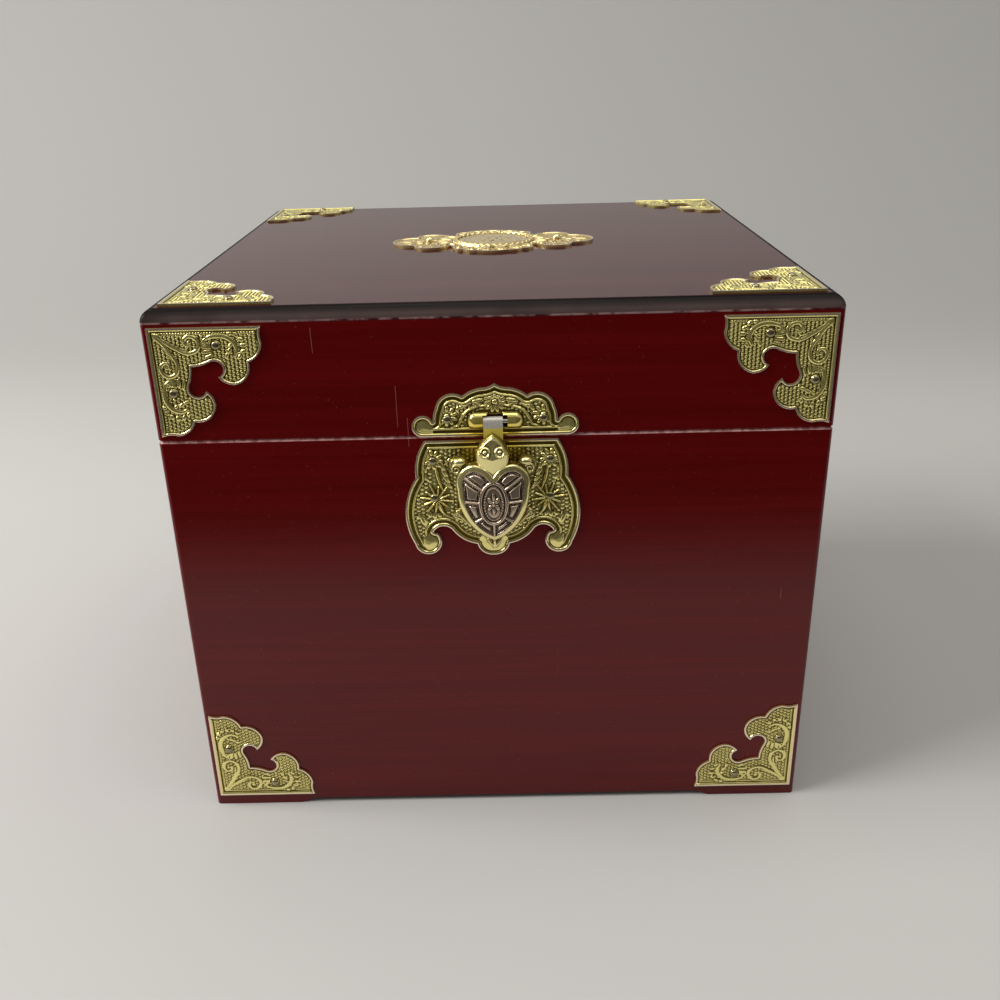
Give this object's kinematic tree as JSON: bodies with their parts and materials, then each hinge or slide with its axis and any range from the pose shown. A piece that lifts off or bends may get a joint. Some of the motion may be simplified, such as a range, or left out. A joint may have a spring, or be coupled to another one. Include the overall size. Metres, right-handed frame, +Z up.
{
  "type": "wooden jewelry box",
  "caption": "Square lacquered wooden jewelry box with a hinged lid, turtle hasp latch, brass corner plates, lid medallion, mirror and lift-out ring tray.",
  "frame": {"origin": "on the floor under the middle of the box", "axes": "+Z up, +X to the right seen from the front, the front with the hasp faces -Y"},
  "size_m": [0.21, 0.2214, 0.1848],
  "materials": {
    "red_lacquer": "dark red satin lacquer over fine straight grain",
    "top_lacquer": "dark red gloss lacquer with a black rounded edge",
    "plain_board": "thin unfinished board",
    "velvet": "short wine-red velvet",
    "ribbon": "red satin ribbon",
    "mirror_glass": "silvered glass",
    "stamped_brass": "bright stamped brass",
    "polished_brass": "polished pale brass",
    "dark_nail": "darkened brass",
    "antique_copper": "antique copper, dark in the hollows",
    "steel": "plain bright steel"
  },
  "bodies": {
    "case": {"front_panel": "red_lacquer", "back_panel": "red_lacquer", "left_panel": "red_lacquer", "right_panel": "red_lacquer", "bottom_panel": "plain_board", "floor_lining": "velvet", "front_liner": "velvet", "back_liner": "velvet", "left_liner": "velvet", "right_liner": "velvet", "case_rim_lining": "velvet", "case_corner_plate_left": "stamped_brass", "case_corner_plate_right": "stamped_brass", "case_corner_nails": "dark_nail", "lower_latch_plate": "stamped_brass", "lower_latch_nails": "dark_nail", "catch_stud": "polished_brass", "hinge_case_leaf_left": "polished_brass", "hinge_case_leaf_right": "polished_brass", "hinge_pin_left": "steel", "hinge_pin_right": "steel", "hinge_case_screws": "polished_brass"},
    "lid": {"lid_top_board": "top_lacquer", "lid_front_rail": "red_lacquer", "lid_back_rail": "red_lacquer", "lid_left_rail": "red_lacquer", "lid_right_rail": "red_lacquer", "lid_side_lining": "velvet", "lid_mirror": "mirror_glass", "mirror_frame": "velvet", "lid_corner_plate_left": "stamped_brass", "lid_corner_plate_right": "stamped_brass", "lid_corner_nails": "dark_nail", "top_plate_front_left": "stamped_brass", "top_plate_front_right": "stamped_brass", "top_plate_back_left": "stamped_brass", "top_plate_back_right": "stamped_brass", "top_corner_nails": "dark_nail", "top_medallion": "stamped_brass", "medallion_studs": "polished_brass", "upper_latch_plate": "stamped_brass", "upper_latch_nails": "dark_nail", "hasp_pin": "steel", "hinge_lid_leaf_left": "polished_brass", "hinge_lid_leaf_right": "polished_brass", "hinge_lid_screws": "polished_brass"},
    "hasp": {"hasp_strap": "polished_brass", "turtle_casting": "polished_brass", "shell_inlay": "antique_copper", "hasp_clip": "steel"},
    "tray": {"tray_front_wall": "red_lacquer", "tray_back_wall": "red_lacquer", "tray_left_wall": "red_lacquer", "tray_right_wall": "red_lacquer", "tray_bottom": "plain_board", "tray_long_divider": "red_lacquer", "tray_cross_dividers": "red_lacquer", "tray_pads": "velvet", "ring_rolls": "velvet", "tray_pull_tabs": "ribbon"}
  },
  "joints": [
    {"name": "lid_hinge", "type": "hinge", "parent": "case", "child": "lid", "pos_m": [0, 0.10535, 0.1408], "axis": [-1, 0, 0], "range_deg": [0, 100]},
    {"name": "hasp_hinge", "type": "hinge", "parent": "lid", "child": "hasp", "pos_m": [0.0002, -0.1039, 0.1457], "axis": [-1, 0, 0], "range_deg": [0, 100]},
    {"name": "tray_lift", "type": "slide", "parent": "case", "child": "tray", "axis": [0, 0, 1], "range_m": [0, 0.024]}
  ]
}
